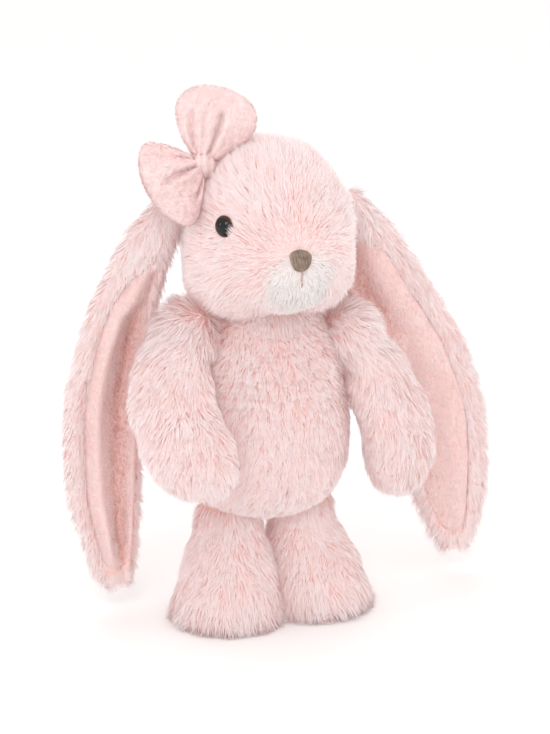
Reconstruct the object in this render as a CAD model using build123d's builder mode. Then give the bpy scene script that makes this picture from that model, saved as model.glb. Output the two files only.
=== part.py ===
from build123d import *
import math
import os

# A standing plush bunny with long lop ears and a small bow. Millimetres.
# +Z is up, the soles rest on Z = 0, the face looks towards -Y and the toy's left side is +X.
# Lengths below are in the toy's own frame, whose Z axis runs up through the belly.
# at() moves them so that the row origin is the centre of the whole toy's footprint box.

MID_X = -14.4
MID_Y = 3.3

PLUSH_WALL = 2.0
STUFFING_GAP = 0.2
JOINT_GAP = 0.4

# Torso: height, half width, half depth, offset of the section's centre in Y
TORSO_SECTIONS = [
    (50, 10, 8, 0),
    (53.5, 21, 16, 0),
    (61, 31, 23, 0),
    (73, 36.5, 26.5, 0),
    (86, 37.5, 27.5, 0),
    (98, 37, 27.5, 0),
    (110, 35.5, 26.5, 0),
    (122, 33, 24.5, 0),
    (132, 29.5, 21.5, 0),
    (139, 23.5, 17.5, 0),
    (142, 18.5, 16.2, 0),
]

# Head: height, half width, half depth, offset of the section's centre in Y. The muzzle is an ellipsoid.
HEAD_SECTIONS = [
    (149.6, 13, 11, -1.5),
    (151, 21.5, 18, -1.5),
    (156, 31, 26.5, -1.5),
    (164, 35.5, 32.5, -1.5),
    (175, 36, 36, -1.5),
    (186, 34.8, 36.5, -1.5),
    (197, 32.3, 34.5, -1.5),
    (207, 26.5, 29, -1.5),
    (214.5, 19.5, 21, -1.5),
    (219.5, 11, 12, -1.5),
    (221.4, 4, 4.5, -1.5),
]
MUZZLE_CENTRE = (0, -23, 168)
MUZZLE_RADII = (18, 18, 15)

# Neck: a ball of stuffing between two sewn openings
NECK_PIVOT = (0, -0.5, 144)
NECK_RADIUS = 15

# Plastic safety eyes
EYE_CENTRE_X = 28.8
EYE_CENTRE_Y = -20.2
EYE_CENTRE_Z = 189.8
EYE_SINK = 0.8
EYE_LEVEL_RADII = (34.2, 36.2)
EYE_LEVEL_Y = -1.5
EYE_RADIUS = 5.0
EYE_DOME = 3.4
EYE_STEM_RADIUS = 1.6
EYE_STEM_LENGTH = 9.0
EYE_WASHER_RADIUS = 6.0
EYE_WASHER_DEPTH = 1.5
EYE_POCKET_DEPTH = 12.0

# Embroidered nose and mouth
NOSE_CENTRE = (0, -37.3, 175.4)
NOSE_HALF_WIDTH = 4.6
NOSE_HALF_HEIGHT = 4.3
NOSE_DEPTH = 4.2
MOUTH_TOP = (0, -40.8, 171.4)
MOUTH_LENGTH = 8.0
MOUTH_RADIUS = 0.7

# Bow of short pile at the root of the right ear
KNOT_CENTRE = (-30.5, 0.5, 214.5)
KNOT_RADIUS = 6.5
BOW_UPPER_DIRECTION = (0.29, 0, 0.957)
BOW_UPPER_ACROSS = (0.887, -0.375, -0.269)
BOW_SIDE_DIRECTION = (-0.90, -0.25, -0.36)
BOW_SIDE_ACROSS = (0.42, -0.29, -0.86)
# Loops: distance from the knot, half width, half thickness
BOW_UPPER_SECTIONS = [(5, 7, 4.5), (12, 13.5, 6), (20, 18, 6.5), (27, 17.5, 6), (32, 12, 4), (34, 6, 2)]
BOW_SIDE_SECTIONS = [(5, 8, 4.5), (11, 15, 5.5), (17.5, 20, 5.5), (23, 19, 5), (27.5, 13, 3.5), (29.5, 7, 2)]

# Shoulders and arms. Sections: height, X, Y, half width, half thickness.
# The right arm is held a little higher and further forward than the left.
RIGHT_SHOULDER = (-40, -2, 136)
LEFT_SHOULDER = (38, -2, 131)
SHOULDER_RADIUS = 12.8
ARM_TURN = 50.0
RIGHT_ARM_SECTIONS = [
    (74.5, -47, -31, 8, 5),
    (78.5, -47.3, -30.5, 14.5, 10),
    (87, -48.3, -28.5, 19, 13.5),
    (98, -50.3, -23, 19.5, 14),
    (110, -51.5, -14.5, 18, 14),
    (121, -49, -7.5, 16, 13.8),
    (130, -45.5, -4, 14.2, 13.2),
    (137, -41, -2.5, 12.6, 12.4),
]
LEFT_ARM_SECTIONS = [
    (60, 60.5, -16, 8, 5),
    (64, 60.7, -16, 14.5, 10),
    (76, 61, -15.5, 19, 13.5),
    (91, 59.5, -13, 19.5, 14),
    (106, 54.5, -8.5, 18, 14),
    (119, 49.5, -4.5, 15.5, 13.5),
    (131, 39.5, -3, 12.6, 12.2),
]

# Hips and legs. Sections: height, offset along the foot, half length, half width
HIP = (18.5, 3, 46)
HIP_RADIUS = 13.5
LEG_SPLAY = 22.0
LEG_SECTIONS = [
    (0, 7, 20, 19),
    (3, 7.5, 21.7, 20.6),
    (8, 8, 22.5, 21.2),
    (15, 8, 22.3, 21.2),
    (24, 6.5, 20, 19.5),
    (33, 3, 16.5, 16.5),
    (40, 0.8, 14, 14),
    (46, 0, 13, 13),
]
SOLE_INSET = 1.5
SOLE_THICKNESS = 2.2
PELLET_TOP = 14.0
PELLET_INSET = 6.0

# Ears. Sections: height, X, Y, half width. The two ears hang a little differently.
EAR_HALF_THICKNESS = 3.5
EAR_LINING_HALF_THICKNESS = 1.5
EAR_LINING_INSET = 6.5
RIGHT_EAR_SECTIONS = [
    (16.5, -68.5, 20, 4.5),
    (25, -70, 20, 8.5),
    (40, -71.5, 20, 11.5),
    (60, -73.2, 20, 14.8),
    (85, -73.2, 20, 16.8),
    (111, -71, 20, 17),
    (140, -64.6, 19, 15.1),
    (156, -60.5, 17, 13),
    (172, -55, 14, 11.5),
    (183, -49.8, 12.5, 10.2),
    (190, -46, 11.5, 8),
    (197, -42.5, 10, 5.5),
]
LEFT_EAR_SECTIONS = [
    (15, 104.5, 8, 4.5),
    (20, 104.2, 8, 7.5),
    (30, 103, 8, 12),
    (47, 101, 8, 17.4),
    (70, 100, 8.5, 18),
    (88, 97, 9, 18.5),
    (106, 89.8, 10, 20.2),
    (121, 82.5, 10, 21.5),
    (134, 74.3, 10, 21.7),
    (148, 64.8, 9.5, 21.8),
    (166, 56, 9, 18),
    (176, 52.3, 8.5, 14.5),
    (186, 47.2, 8, 9.8),
    (195, 42, 7, 5.5),
]

TAIL_CENTRE = (0, 28, 68)
TAIL_RADIUS = 11


def at(x, y, z):
    return (x + MID_X, y + MID_Y, z)


def ellipsoid(centre, radii):
    with BuildPart() as body:
        Sphere(1)
        scale(by=tuple(radii))
    return body.part.moved(Location(at(*centre)))


def ball(centre, radius):
    with BuildPart() as body:
        with Locations(at(*centre)):
            Sphere(radius)
    return body.part


def section_loft(sections):
    """Loft through horizontal ellipses: z, x, y, half length, half width, turn in degrees."""
    with BuildPart() as body:
        for z, x, y, half_length, half_width, turn in sections:
            along = (math.cos(math.radians(turn)), math.sin(math.radians(turn)), 0)
            with BuildSketch(Plane(origin=at(x, y, z), x_dir=along, z_dir=(0, 0, 1))):
                Ellipse(half_length, half_width)
        loft()
    return body.part


def shrunk(sections, wall):
    """The same loft inside a wall: smaller ellipses, and both ends pulled in."""
    inner = []
    for z, x, y, half_length, half_width, turn in sections:
        inner.append([z, x, y, half_length - wall, half_width - wall, turn])
    inner[0][0] = sections[0][0] + wall
    inner[-1][0] = sections[-1][0] - wall
    return inner


def torso_loft(wall):
    sections = [(z, 0, y, half_width, half_depth, 0) for z, half_width, half_depth, y in TORSO_SECTIONS]
    return section_loft(shrunk(sections, wall))


def head_loft(wall):
    sections = [(z, 0, y, half_width, half_depth, 0) for z, half_width, half_depth, y in HEAD_SECTIONS]
    return section_loft(shrunk(sections, wall))


def arm_loft(side, wall):
    arm_sections = LEFT_ARM_SECTIONS if side > 0 else RIGHT_ARM_SECTIONS
    sections = []
    for z, x, y, half_width, half_thickness in arm_sections:
        sections.append((z, x, y, half_width, half_thickness, side * ARM_TURN))
    return section_loft(shrunk(sections, wall))


def leg_loft(side, wall):
    toe_x = side * math.sin(math.radians(LEG_SPLAY))
    toe_y = -math.cos(math.radians(LEG_SPLAY))
    turn = math.degrees(math.atan2(toe_y, toe_x))
    sections = []
    for z, along, half_length, half_width in LEG_SECTIONS:
        x = side * HIP[0] + along * toe_x
        y = HIP[1] + along * toe_y
        sections.append((z, x, y, half_length, half_width, turn))
    return section_loft(shrunk(sections, wall))


def foot_disc(side, inset, low, high):
    """A flat disc in the outline of the foot's lowest section."""
    toe_x = side * math.sin(math.radians(LEG_SPLAY))
    toe_y = -math.cos(math.radians(LEG_SPLAY))
    z, along, half_length, half_width = LEG_SECTIONS[0]
    centre = at(side * HIP[0] + along * toe_x, HIP[1] + along * toe_y, low)
    with BuildPart() as disc:
        with BuildSketch(Plane(origin=centre, x_dir=(toe_x, toe_y, 0), z_dir=(0, 0, 1))):
            Ellipse(half_length - inset, half_width - inset)
        extrude(amount=high - low)
    return disc.part


def ear_loft(ear_sections, inset, half_thickness, forward):
    sections = []
    for z, x, y, half_width in ear_sections:
        sections.append((z, x, y - forward, max(half_width - inset, 1.5), half_thickness, 0))
    return section_loft(sections)


def bow_loop(direction, across, sections):
    """A puffed loop that leaves the knot along direction and spreads along across."""
    with BuildPart() as loop:
        for distance, half_width, half_thickness in sections:
            centre = [k + distance * d for k, d in zip(KNOT_CENTRE, direction)]
            with BuildSketch(Plane(origin=at(*centre), x_dir=across, z_dir=direction)):
                Ellipse(half_width, half_thickness)
        loft()
    return loop.part


def mirrored(point, side):
    return (side * point[0], point[1], point[2])


def eye_plane(side, depth):
    """A plane across the eye's axis, this far inside the head's surface."""
    across = EYE_CENTRE_X / EYE_LEVEL_RADII[0] ** 2
    back = (EYE_CENTRE_Y - EYE_LEVEL_Y) / EYE_LEVEL_RADII[1] ** 2
    length = math.hypot(across, back)
    normal = (side * across / length, back / length, 0)
    centre = (
        side * EYE_CENTRE_X - depth * normal[0],
        EYE_CENTRE_Y - depth * normal[1],
        EYE_CENTRE_Z,
    )
    return Plane(origin=at(*centre), x_dir=(0, 0, 1), z_dir=normal)


def eye_rod(side, radius, start, length):
    """A cylinder along the eye's axis, from this depth inwards."""
    with BuildPart() as rod:
        with BuildSketch(eye_plane(side, start + length)):
            Circle(radius)
        extrude(amount=length)
    return rod.part


def eye_dome(side):
    """A low dome: a ball cut off by the eye's back plane."""
    ball_radius = (EYE_RADIUS**2 + EYE_DOME**2) / (2 * EYE_DOME)
    with BuildPart() as dome:
        with Locations(eye_plane(side, EYE_SINK + ball_radius - EYE_DOME).location):
            Sphere(ball_radius)
    return dome.part & eye_rod(side, EYE_RADIUS, EYE_SINK - EYE_DOME, EYE_DOME)


head_outer = head_loft(0)
head_inner = head_loft(PLUSH_WALL)
head_core = head_loft(PLUSH_WALL + STUFFING_GAP)
muzzle_outer = ellipsoid(MUZZLE_CENTRE, MUZZLE_RADII)
muzzle_inner = ellipsoid(MUZZLE_CENTRE, [r - PLUSH_WALL for r in MUZZLE_RADII])
muzzle_core = ellipsoid(MUZZLE_CENTRE, [r - PLUSH_WALL - STUFFING_GAP for r in MUZZLE_RADII])
neck_socket = ball(NECK_PIVOT, NECK_RADIUS + JOINT_GAP)
neck_pocket = ball(NECK_PIVOT, NECK_RADIUS + JOINT_GAP + PLUSH_WALL)
nose_plane = Plane(origin=at(*NOSE_CENTRE), x_dir=(1, 0, 0), z_dir=(0, -1, 0.3))
mouth_plane = Plane(origin=at(*MOUTH_TOP), x_dir=(1, 0, 0), z_dir=(0, 0.12, -1))

parts = []

# Nose and mouth stitching, sunk into the muzzle
with BuildPart() as nose:
    with BuildSketch(nose_plane):
        Ellipse(NOSE_HALF_WIDTH, NOSE_HALF_HEIGHT)
    extrude(amount=NOSE_DEPTH)
nose.part.label = "nose"
parts.append(nose.part)

with BuildPart() as mouth_stitch:
    with BuildSketch(mouth_plane):
        Circle(MOUTH_RADIUS)
    extrude(amount=MOUTH_LENGTH)
    add(nose.part, mode=Mode.SUBTRACT)
mouth_stitch.part.label = "mouth_stitch"
parts.append(mouth_stitch.part)

# Head cover with an opening at the neck, one at the muzzle and a hole for each eye
with BuildPart() as head_cover:
    add(head_outer)
    add(head_inner, mode=Mode.SUBTRACT)
    add(muzzle_outer, mode=Mode.SUBTRACT)
    add(neck_socket, mode=Mode.SUBTRACT)
    add(nose.part, mode=Mode.SUBTRACT)
    for side in (-1, 1):
        add(eye_rod(side, EYE_STEM_RADIUS + 0.1, -EYE_DOME, EYE_POCKET_DEPTH), mode=Mode.SUBTRACT)
        add(eye_rod(side, EYE_RADIUS + 0.1, -EYE_DOME, EYE_DOME + EYE_SINK + 0.1), mode=Mode.SUBTRACT)
head_cover.part.label = "head_cover"
parts.append(head_cover.part)

with BuildPart() as muzzle_cover:
    add(muzzle_outer)
    add(muzzle_inner, mode=Mode.SUBTRACT)
    add(head_inner, mode=Mode.SUBTRACT)
    add(neck_socket, mode=Mode.SUBTRACT)
    add(nose.part, mode=Mode.SUBTRACT)
    add(mouth_stitch.part, mode=Mode.SUBTRACT)
muzzle_cover.part.label = "muzzle_cover"
parts.append(muzzle_cover.part)

with BuildPart() as head_stuffing:
    add(head_core)
    add(muzzle_core)
    add(neck_pocket, mode=Mode.SUBTRACT)
    add(nose.part, mode=Mode.SUBTRACT)
    for side in (-1, 1):
        add(eye_rod(side, EYE_WASHER_RADIUS + 0.3, 0, EYE_POCKET_DEPTH), mode=Mode.SUBTRACT)
head_stuffing.part.label = "head_stuffing"
parts.append(head_stuffing.part)

# Eyes with a stem through the cover, and the washer that holds each inside the head
for side, name in ((-1, "right"), (1, "left")):
    with BuildPart() as eye:
        add(eye_dome(side))
        add(eye_rod(side, EYE_STEM_RADIUS, EYE_SINK, EYE_STEM_LENGTH))
    eye.part.label = f"{name}_eye"
    parts.append(eye.part)

    with BuildPart() as eye_washer:
        add(eye_rod(side, EYE_WASHER_RADIUS, 5.5, EYE_WASHER_DEPTH))
        add(eye_rod(side, EYE_STEM_RADIUS + 0.05, 0, EYE_STEM_LENGTH + 1), mode=Mode.SUBTRACT)
    eye_washer.part.label = f"{name}_eye_washer"
    parts.append(eye_washer.part)

# Bow: a knot and two puffed loops, sewn on the head
with BuildPart() as bow_knot:
    add(ball(KNOT_CENTRE, KNOT_RADIUS))
    add(head_outer, mode=Mode.SUBTRACT)
bow_knot.part.label = "bow_knot"
parts.append(bow_knot.part)

with BuildPart() as bow_upper_loop:
    add(bow_loop(BOW_UPPER_DIRECTION, BOW_UPPER_ACROSS, BOW_UPPER_SECTIONS))
    add(bow_knot.part, mode=Mode.SUBTRACT)
bow_upper_loop.part.label = "bow_upper_loop"
parts.append(bow_upper_loop.part)

with BuildPart() as bow_side_loop:
    add(bow_loop(BOW_SIDE_DIRECTION, BOW_SIDE_ACROSS, BOW_SIDE_SECTIONS))
    add(bow_knot.part, mode=Mode.SUBTRACT)
bow_side_loop.part.label = "bow_side_loop"
parts.append(bow_side_loop.part)

# Neck: the stuffing that joins head and torso
with BuildPart() as neck_ball:
    add(ball(NECK_PIVOT, NECK_RADIUS))
neck_ball.part.label = "neck_ball"
parts.append(neck_ball.part)

# Torso cover, open at the neck, shoulders and hips
joint_balls = [(NECK_PIVOT, NECK_RADIUS)]
for side, shoulder in ((-1, RIGHT_SHOULDER), (1, LEFT_SHOULDER)):
    joint_balls.append((shoulder, SHOULDER_RADIUS))
    joint_balls.append((mirrored(HIP, side), HIP_RADIUS))

with BuildPart() as torso_cover:
    add(torso_loft(0))
    add(torso_loft(PLUSH_WALL), mode=Mode.SUBTRACT)
    for centre, radius in joint_balls:
        add(ball(centre, radius + JOINT_GAP), mode=Mode.SUBTRACT)
torso_cover.part.label = "torso_cover"
parts.append(torso_cover.part)

with BuildPart() as torso_stuffing:
    add(torso_loft(PLUSH_WALL + STUFFING_GAP))
    for centre, radius in joint_balls:
        add(ball(centre, radius + JOINT_GAP + 1), mode=Mode.SUBTRACT)
torso_stuffing.part.label = "torso_stuffing"
parts.append(torso_stuffing.part)

with BuildPart() as tail:
    add(ball(TAIL_CENTRE, TAIL_RADIUS))
    add(torso_loft(0), mode=Mode.SUBTRACT)
tail.part.label = "tail"
parts.append(tail.part)

# Arms
for side, name, shoulder in ((-1, "right", RIGHT_SHOULDER), (1, "left", LEFT_SHOULDER)):
    with BuildPart() as arm_cover:
        add(arm_loft(side, 0))
        add(ball(shoulder, SHOULDER_RADIUS))
        add(arm_loft(side, PLUSH_WALL), mode=Mode.SUBTRACT)
        add(ball(shoulder, SHOULDER_RADIUS - PLUSH_WALL), mode=Mode.SUBTRACT)
    arm_cover.part.label = f"{name}_arm_cover"
    parts.append(arm_cover.part)

    with BuildPart() as arm_stuffing:
        add(arm_loft(side, PLUSH_WALL + STUFFING_GAP))
        add(ball(shoulder, SHOULDER_RADIUS - PLUSH_WALL - STUFFING_GAP))
    arm_stuffing.part.label = f"{name}_arm_stuffing"
    parts.append(arm_stuffing.part)

# Legs with a flat sole and a bag of pellets in each foot
for side, name in ((-1, "right"), (1, "left")):
    hip = mirrored(HIP, side)
    with BuildPart() as sole:
        add(foot_disc(side, SOLE_INSET, 0, SOLE_THICKNESS))
    sole.part.label = f"{name}_sole"
    parts.append(sole.part)

    with BuildPart() as leg_cover:
        add(leg_loft(side, 0))
        add(ball(hip, HIP_RADIUS))
        add(leg_loft(side, PLUSH_WALL), mode=Mode.SUBTRACT)
        add(ball(hip, HIP_RADIUS - PLUSH_WALL), mode=Mode.SUBTRACT)
        add(foot_disc(side, SOLE_INSET, 0, SOLE_THICKNESS), mode=Mode.SUBTRACT)
    leg_cover.part.label = f"{name}_leg_cover"
    parts.append(leg_cover.part)

    with BuildPart() as foot_pellets:
        add(foot_disc(side, PELLET_INSET, SOLE_THICKNESS + STUFFING_GAP, PELLET_TOP))
    foot_pellets.part.label = f"{name}_foot_pellets"
    parts.append(foot_pellets.part)

    with BuildPart() as leg_stuffing:
        add(leg_loft(side, PLUSH_WALL + STUFFING_GAP))
        add(ball(hip, HIP_RADIUS - PLUSH_WALL - STUFFING_GAP))
        add(foot_disc(side, SOLE_INSET - 1, 0, SOLE_THICKNESS + STUFFING_GAP), mode=Mode.SUBTRACT)
        add(foot_disc(side, PELLET_INSET - STUFFING_GAP, 0, PELLET_TOP + STUFFING_GAP), mode=Mode.SUBTRACT)
    leg_stuffing.part.label = f"{name}_leg_stuffing"
    parts.append(leg_stuffing.part)

# Ears: a furry back panel with a short-pile lining let into its front
for ear_sections, name in ((RIGHT_EAR_SECTIONS, "right"), (LEFT_EAR_SECTIONS, "left")):
    forward = EAR_HALF_THICKNESS - 0.4
    with BuildPart() as ear_lining:
        add(ear_loft(ear_sections[1:-1], EAR_LINING_INSET, EAR_LINING_HALF_THICKNESS, forward))
    ear_lining.part.label = f"{name}_ear_lining"
    parts.append(ear_lining.part)

    with BuildPart() as ear_back:
        add(ear_loft(ear_sections, 0, EAR_HALF_THICKNESS, 0))
        add(ear_lining.part, mode=Mode.SUBTRACT)
    ear_back.part.label = f"{name}_ear_back"
    parts.append(ear_back.part)

os.makedirs("parts", exist_ok=True)
for part in parts:
    export_step(part, f"parts/{part.label}.step")
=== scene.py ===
import math

import bpy
import numpy as np
from mathutils import Matrix, Vector


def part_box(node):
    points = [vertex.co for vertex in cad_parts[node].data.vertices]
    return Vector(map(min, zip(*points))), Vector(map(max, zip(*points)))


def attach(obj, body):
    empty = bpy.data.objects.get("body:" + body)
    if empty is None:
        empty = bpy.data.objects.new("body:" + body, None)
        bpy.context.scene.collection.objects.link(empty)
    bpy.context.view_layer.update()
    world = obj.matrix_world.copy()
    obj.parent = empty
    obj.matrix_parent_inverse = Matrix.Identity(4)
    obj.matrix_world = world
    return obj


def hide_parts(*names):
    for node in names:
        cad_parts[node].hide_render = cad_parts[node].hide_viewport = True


# Plush bunny: sculpted skins, real pile strands, stitched nose, velour bow and ear linings.
# Shapes are written in millimetres in the toy's own frame: Z up through the belly, face to -Y.

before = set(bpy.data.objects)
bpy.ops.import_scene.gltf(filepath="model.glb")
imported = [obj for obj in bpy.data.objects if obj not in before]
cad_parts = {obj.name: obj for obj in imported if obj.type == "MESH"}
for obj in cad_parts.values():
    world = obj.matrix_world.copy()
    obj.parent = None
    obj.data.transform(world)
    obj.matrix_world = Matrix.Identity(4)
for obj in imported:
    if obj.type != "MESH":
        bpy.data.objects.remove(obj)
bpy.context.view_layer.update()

# the toy's own origin in the shared frame, in metres: the neck ball's centre is 0.5 mm in front of it
neck_low, neck_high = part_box("neck_ball")
MIDDLE = np.array([(neck_low.x + neck_high.x) / 2, (neck_low.y + neck_high.y) / 2 + 0.0005, 0.0])
DOWN = np.array([0, 0, -1.0])


# ---------------------------------------------------------------- small helpers


def unit(v):
    return v / np.maximum(np.linalg.norm(v, axis=-1, keepdims=True), 1e-9)


def waves(points, size, seed, count=5):
    """A smooth random value from -1 to 1 at each point; size is its wavelength in mm."""
    rng = np.random.default_rng(seed)
    total = np.zeros(len(points))
    for _ in range(count):
        direction = unit(rng.normal(size=3)) * (2 * math.pi / size) * rng.uniform(0.6, 1.5)
        total += np.sin(points @ direction + rng.uniform(0, 2 * math.pi))
    return total / (count * 0.7)


def wave_vectors(points, size, seed):
    return np.stack([waves(points, size, seed + k) for k in range(3)], axis=1)


def step(low, high, x):
    t = np.clip((x - low) / (high - low), 0, 1)
    return t * t * (3 - 2 * t)


def bell(x, centre, width):
    return np.exp(-(((x - centre) / width) ** 2))


def smooth_table(rows, count):
    """Catmull-Rom through the rows of a table, resampled to count rows."""
    rows = np.array(rows, float)
    at = np.linspace(0, len(rows) - 1, count)
    i = np.clip(at.astype(int), 0, len(rows) - 2)
    t = (at - i)[:, None]
    p0 = rows[np.maximum(i - 1, 0)]
    p1, p2 = rows[i], rows[i + 1]
    p3 = rows[np.minimum(i + 2, len(rows) - 1)]
    return 0.5 * (
        2 * p1 + (p2 - p0) * t + (2 * p0 - 5 * p1 + 4 * p2 - p3) * t**2 + (3 * p1 - p0 - 3 * p2 + p3) * t**3
    )


class Skin:
    """A surface in mm, with smooth normals and triangles for sampling."""

    def __init__(self, verts, faces):
        self.verts = np.asarray(verts, float)
        self.faces = faces
        tris = []
        for f in faces:
            for k in range(1, len(f) - 1):
                tris.append((f[0], f[k], f[k + 1]))
        self.tris = np.array(tris)
        a, b, c = (self.verts[self.tris[:, k]] for k in range(3))
        cross = np.cross(b - a, c - a)
        self.area = np.linalg.norm(cross, axis=1) / 2
        normals = np.zeros_like(self.verts)
        for k in range(3):
            np.add.at(normals, self.tris[:, k], cross)
        self.normals = unit(normals)

    def sample(self, per_cm2, rng, weight=None):
        """Random points and normals; weight(points, normals) is the share that is kept."""
        count = int(self.area.sum() / 100 * per_cm2)
        pick = rng.choice(len(self.tris), size=count, p=self.area / self.area.sum())
        r1, r2 = np.sqrt(rng.random(count)), rng.random(count)
        w = np.stack([1 - r1, r1 * (1 - r2), r1 * r2], axis=1)[:, :, None]
        tri = self.tris[pick]
        points = (self.verts[tri] * w).sum(1)
        normals = unit((self.normals[tri] * w).sum(1))
        if weight is not None:
            keep = rng.random(count) < weight(points, normals)
            points, normals = points[keep], normals[keep]
        return points, normals


def ring_grid(rings):
    """Faces that join rings of equal length, with a fan at each end."""
    count, segs = rings.shape[:2]
    verts = rings.reshape(-1, 3)
    faces = []
    for i in range(count - 1):
        for j in range(segs):
            k = (j + 1) % segs
            faces.append((i * segs + j, i * segs + k, (i + 1) * segs + k, (i + 1) * segs + j))
    low, high = len(verts), len(verts) + 1
    verts = np.vstack([verts, rings[0].mean(0), rings[-1].mean(0)])
    for j in range(segs):
        k = (j + 1) % segs
        faces.append((low, k, j))
        faces.append((high, (count - 1) * segs + j, (count - 1) * segs + k))
    return verts, faces


def loft(sections, rings, segs):
    """Closed skin through horizontal ellipses: z, x, y, half length, half width, turn."""
    table = smooth_table(sections, rings)
    theta = np.linspace(0, 2 * math.pi, segs, endpoint=False)
    out = np.zeros((rings, segs, 3))
    for i, (z, x, y, a, b, turn) in enumerate(table):
        t = math.radians(turn)
        u, v = max(a, 0.4) * np.cos(theta), max(b, 0.4) * np.sin(theta)
        out[i, :, 0] = x + u * math.cos(t) - v * math.sin(t)
        out[i, :, 1] = y + u * math.sin(t) + v * math.cos(t)
        out[i, :, 2] = z
    return out


def make_object(name, verts, faces, materials, smooth=True, face_slots=None):
    """A mesh object in the shared frame from millimetres in the toy's own; faces is a list or one array."""
    mesh = bpy.data.meshes.new(name)
    verts = np.asarray(verts, float) / 1000 + MIDDLE
    if isinstance(faces, list):
        mesh.from_pydata(verts.tolist(), [], faces)
    else:
        count, sides = faces.shape
        mesh.vertices.add(len(verts))
        mesh.vertices.foreach_set("co", verts.astype(np.float32).ravel())
        mesh.loops.add(count * sides)
        mesh.loops.foreach_set("vertex_index", faces.astype(np.int32).ravel())
        mesh.polygons.add(count)
        mesh.polygons.foreach_set("loop_start", np.arange(0, count * sides, sides, dtype=np.int32))
        mesh.update(calc_edges=True)
    for material in materials:
        mesh.materials.append(material)
    if smooth:
        mesh.polygons.foreach_set("use_smooth", [True] * len(mesh.polygons))
    if face_slots is not None:
        mesh.polygons.foreach_set("material_index", np.asarray(face_slots, np.int32))
    mesh.update()
    obj = bpy.data.objects.new(name, mesh)
    bpy.context.scene.collection.objects.link(obj)
    return obj


# ---------------------------------------------------------------- materials


def plain(name, colour, roughness=0.9, sheen=0.0, glow=None):
    """One plain shade; the glow is a painted glow, a faint emission that stands in for light that scatters deep
    inside pale pile.
    """
    material = bpy.data.materials.new(name)
    material.use_nodes = True
    shader = material.node_tree.nodes["Principled BSDF"]
    shader.inputs["Base Color"].default_value = (*colour, 1)
    shader.inputs["Roughness"].default_value = roughness
    shader.inputs["Specular IOR Level"].default_value = 0.15
    shader.inputs["Sheen Weight"].default_value = sheen
    if glow:
        shader.inputs["Emission Color"].default_value = (*glow, 1)
        shader.inputs["Emission Strength"].default_value = 1.0
    return material


def pile_cloth(name, dark, light, scale=900.0, patch=60.0, bump=0.35, roughness=0.9, sheen=0.25, glow=None):
    """Short pile: soft patches where the nap lies differently, fine fibre speckle and fibre bump."""
    material = plain(name, light, roughness, sheen, glow=glow)
    tree = material.node_tree
    nodes, links = tree.nodes, tree.links
    shader = nodes["Principled BSDF"]
    place = nodes.new("ShaderNodeTexCoord")
    fine = nodes.new("ShaderNodeTexNoise")
    fine.inputs["Scale"].default_value = scale
    fine.inputs["Detail"].default_value = 4
    broad = nodes.new("ShaderNodeTexNoise")
    broad.inputs["Scale"].default_value = patch
    broad.inputs["Detail"].default_value = 3
    links.new(place.outputs["Object"], fine.inputs["Vector"])
    links.new(place.outputs["Object"], broad.inputs["Vector"])
    mix = nodes.new("ShaderNodeMath")
    mix.operation = "MULTIPLY_ADD"
    mix.inputs[1].default_value = 0.45
    links.new(fine.outputs["Fac"], mix.inputs[0])
    half = nodes.new("ShaderNodeMath")
    half.operation = "MULTIPLY"
    half.inputs[1].default_value = 0.55
    links.new(broad.outputs["Fac"], half.inputs[0])
    links.new(half.outputs[0], mix.inputs[2])
    ramp = nodes.new("ShaderNodeValToRGB")
    ramp.color_ramp.elements[0].position = 0.34
    ramp.color_ramp.elements[0].color = (*dark, 1)
    ramp.color_ramp.elements[1].position = 0.62
    ramp.color_ramp.elements[1].color = (*light, 1)
    links.new(mix.outputs[0], ramp.inputs["Fac"])
    links.new(ramp.outputs["Color"], shader.inputs["Base Color"])
    lift = nodes.new("ShaderNodeBump")
    lift.inputs["Strength"].default_value = bump
    lift.inputs["Distance"].default_value = 0.0006
    links.new(fine.outputs["Fac"], lift.inputs["Height"])
    links.new(lift.outputs["Normal"], shader.inputs["Normal"])
    return material


# painted shade and painted glow: the strands run from a deeper salmon root shade to a pale tip, the salmon of root
# and middle standing in for shade in the pile's gaps, and each glow is a faint emission standing in for light
# scattered through the pile
FUR_TIP = plain("fur_tip", (0.885, 0.78, 0.775), glow=(0.085, 0.06, 0.06))
FUR_MID = plain("fur_mid", (0.885, 0.73, 0.715), glow=(0.11, 0.068, 0.064))
FUR_ROOT = plain("fur_root", (0.91, 0.63, 0.59), glow=(0.15, 0.076, 0.068))
FUR_BRIGHT = plain("fur_bright", (0.895, 0.825, 0.82), glow=(0.08, 0.062, 0.062))
WHITE_TIP = plain("white_tip", (0.90, 0.88, 0.875))
WHITE_MID = plain("white_mid", (0.91, 0.87, 0.86), glow=(0.03, 0.025, 0.024))
WHITE_ROOT = plain("white_root", (0.92, 0.83, 0.81), glow=(0.06, 0.045, 0.04))
# painted glow: these nap shades carry a faint emission that stands in for light scattered through the nap
NAP_LIGHT = plain("nap_light", (0.90, 0.775, 0.77), glow=(0.02, 0.013, 0.013))
NAP_MID = plain("nap_mid", (0.90, 0.71, 0.695), glow=(0.05, 0.03, 0.028))
BACKING = pile_cloth("fur_backing", (0.92, 0.62, 0.59), (0.95, 0.71, 0.69), 500, 80)
WHITE_BACKING = pile_cloth("white_backing", (0.80, 0.66, 0.64), (0.88, 0.78, 0.76), 500, 80)
LINING = pile_cloth("ear_lining_velour", (0.88, 0.57, 0.54), (0.90, 0.67, 0.65), 1400, 90, 0.5)
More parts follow.
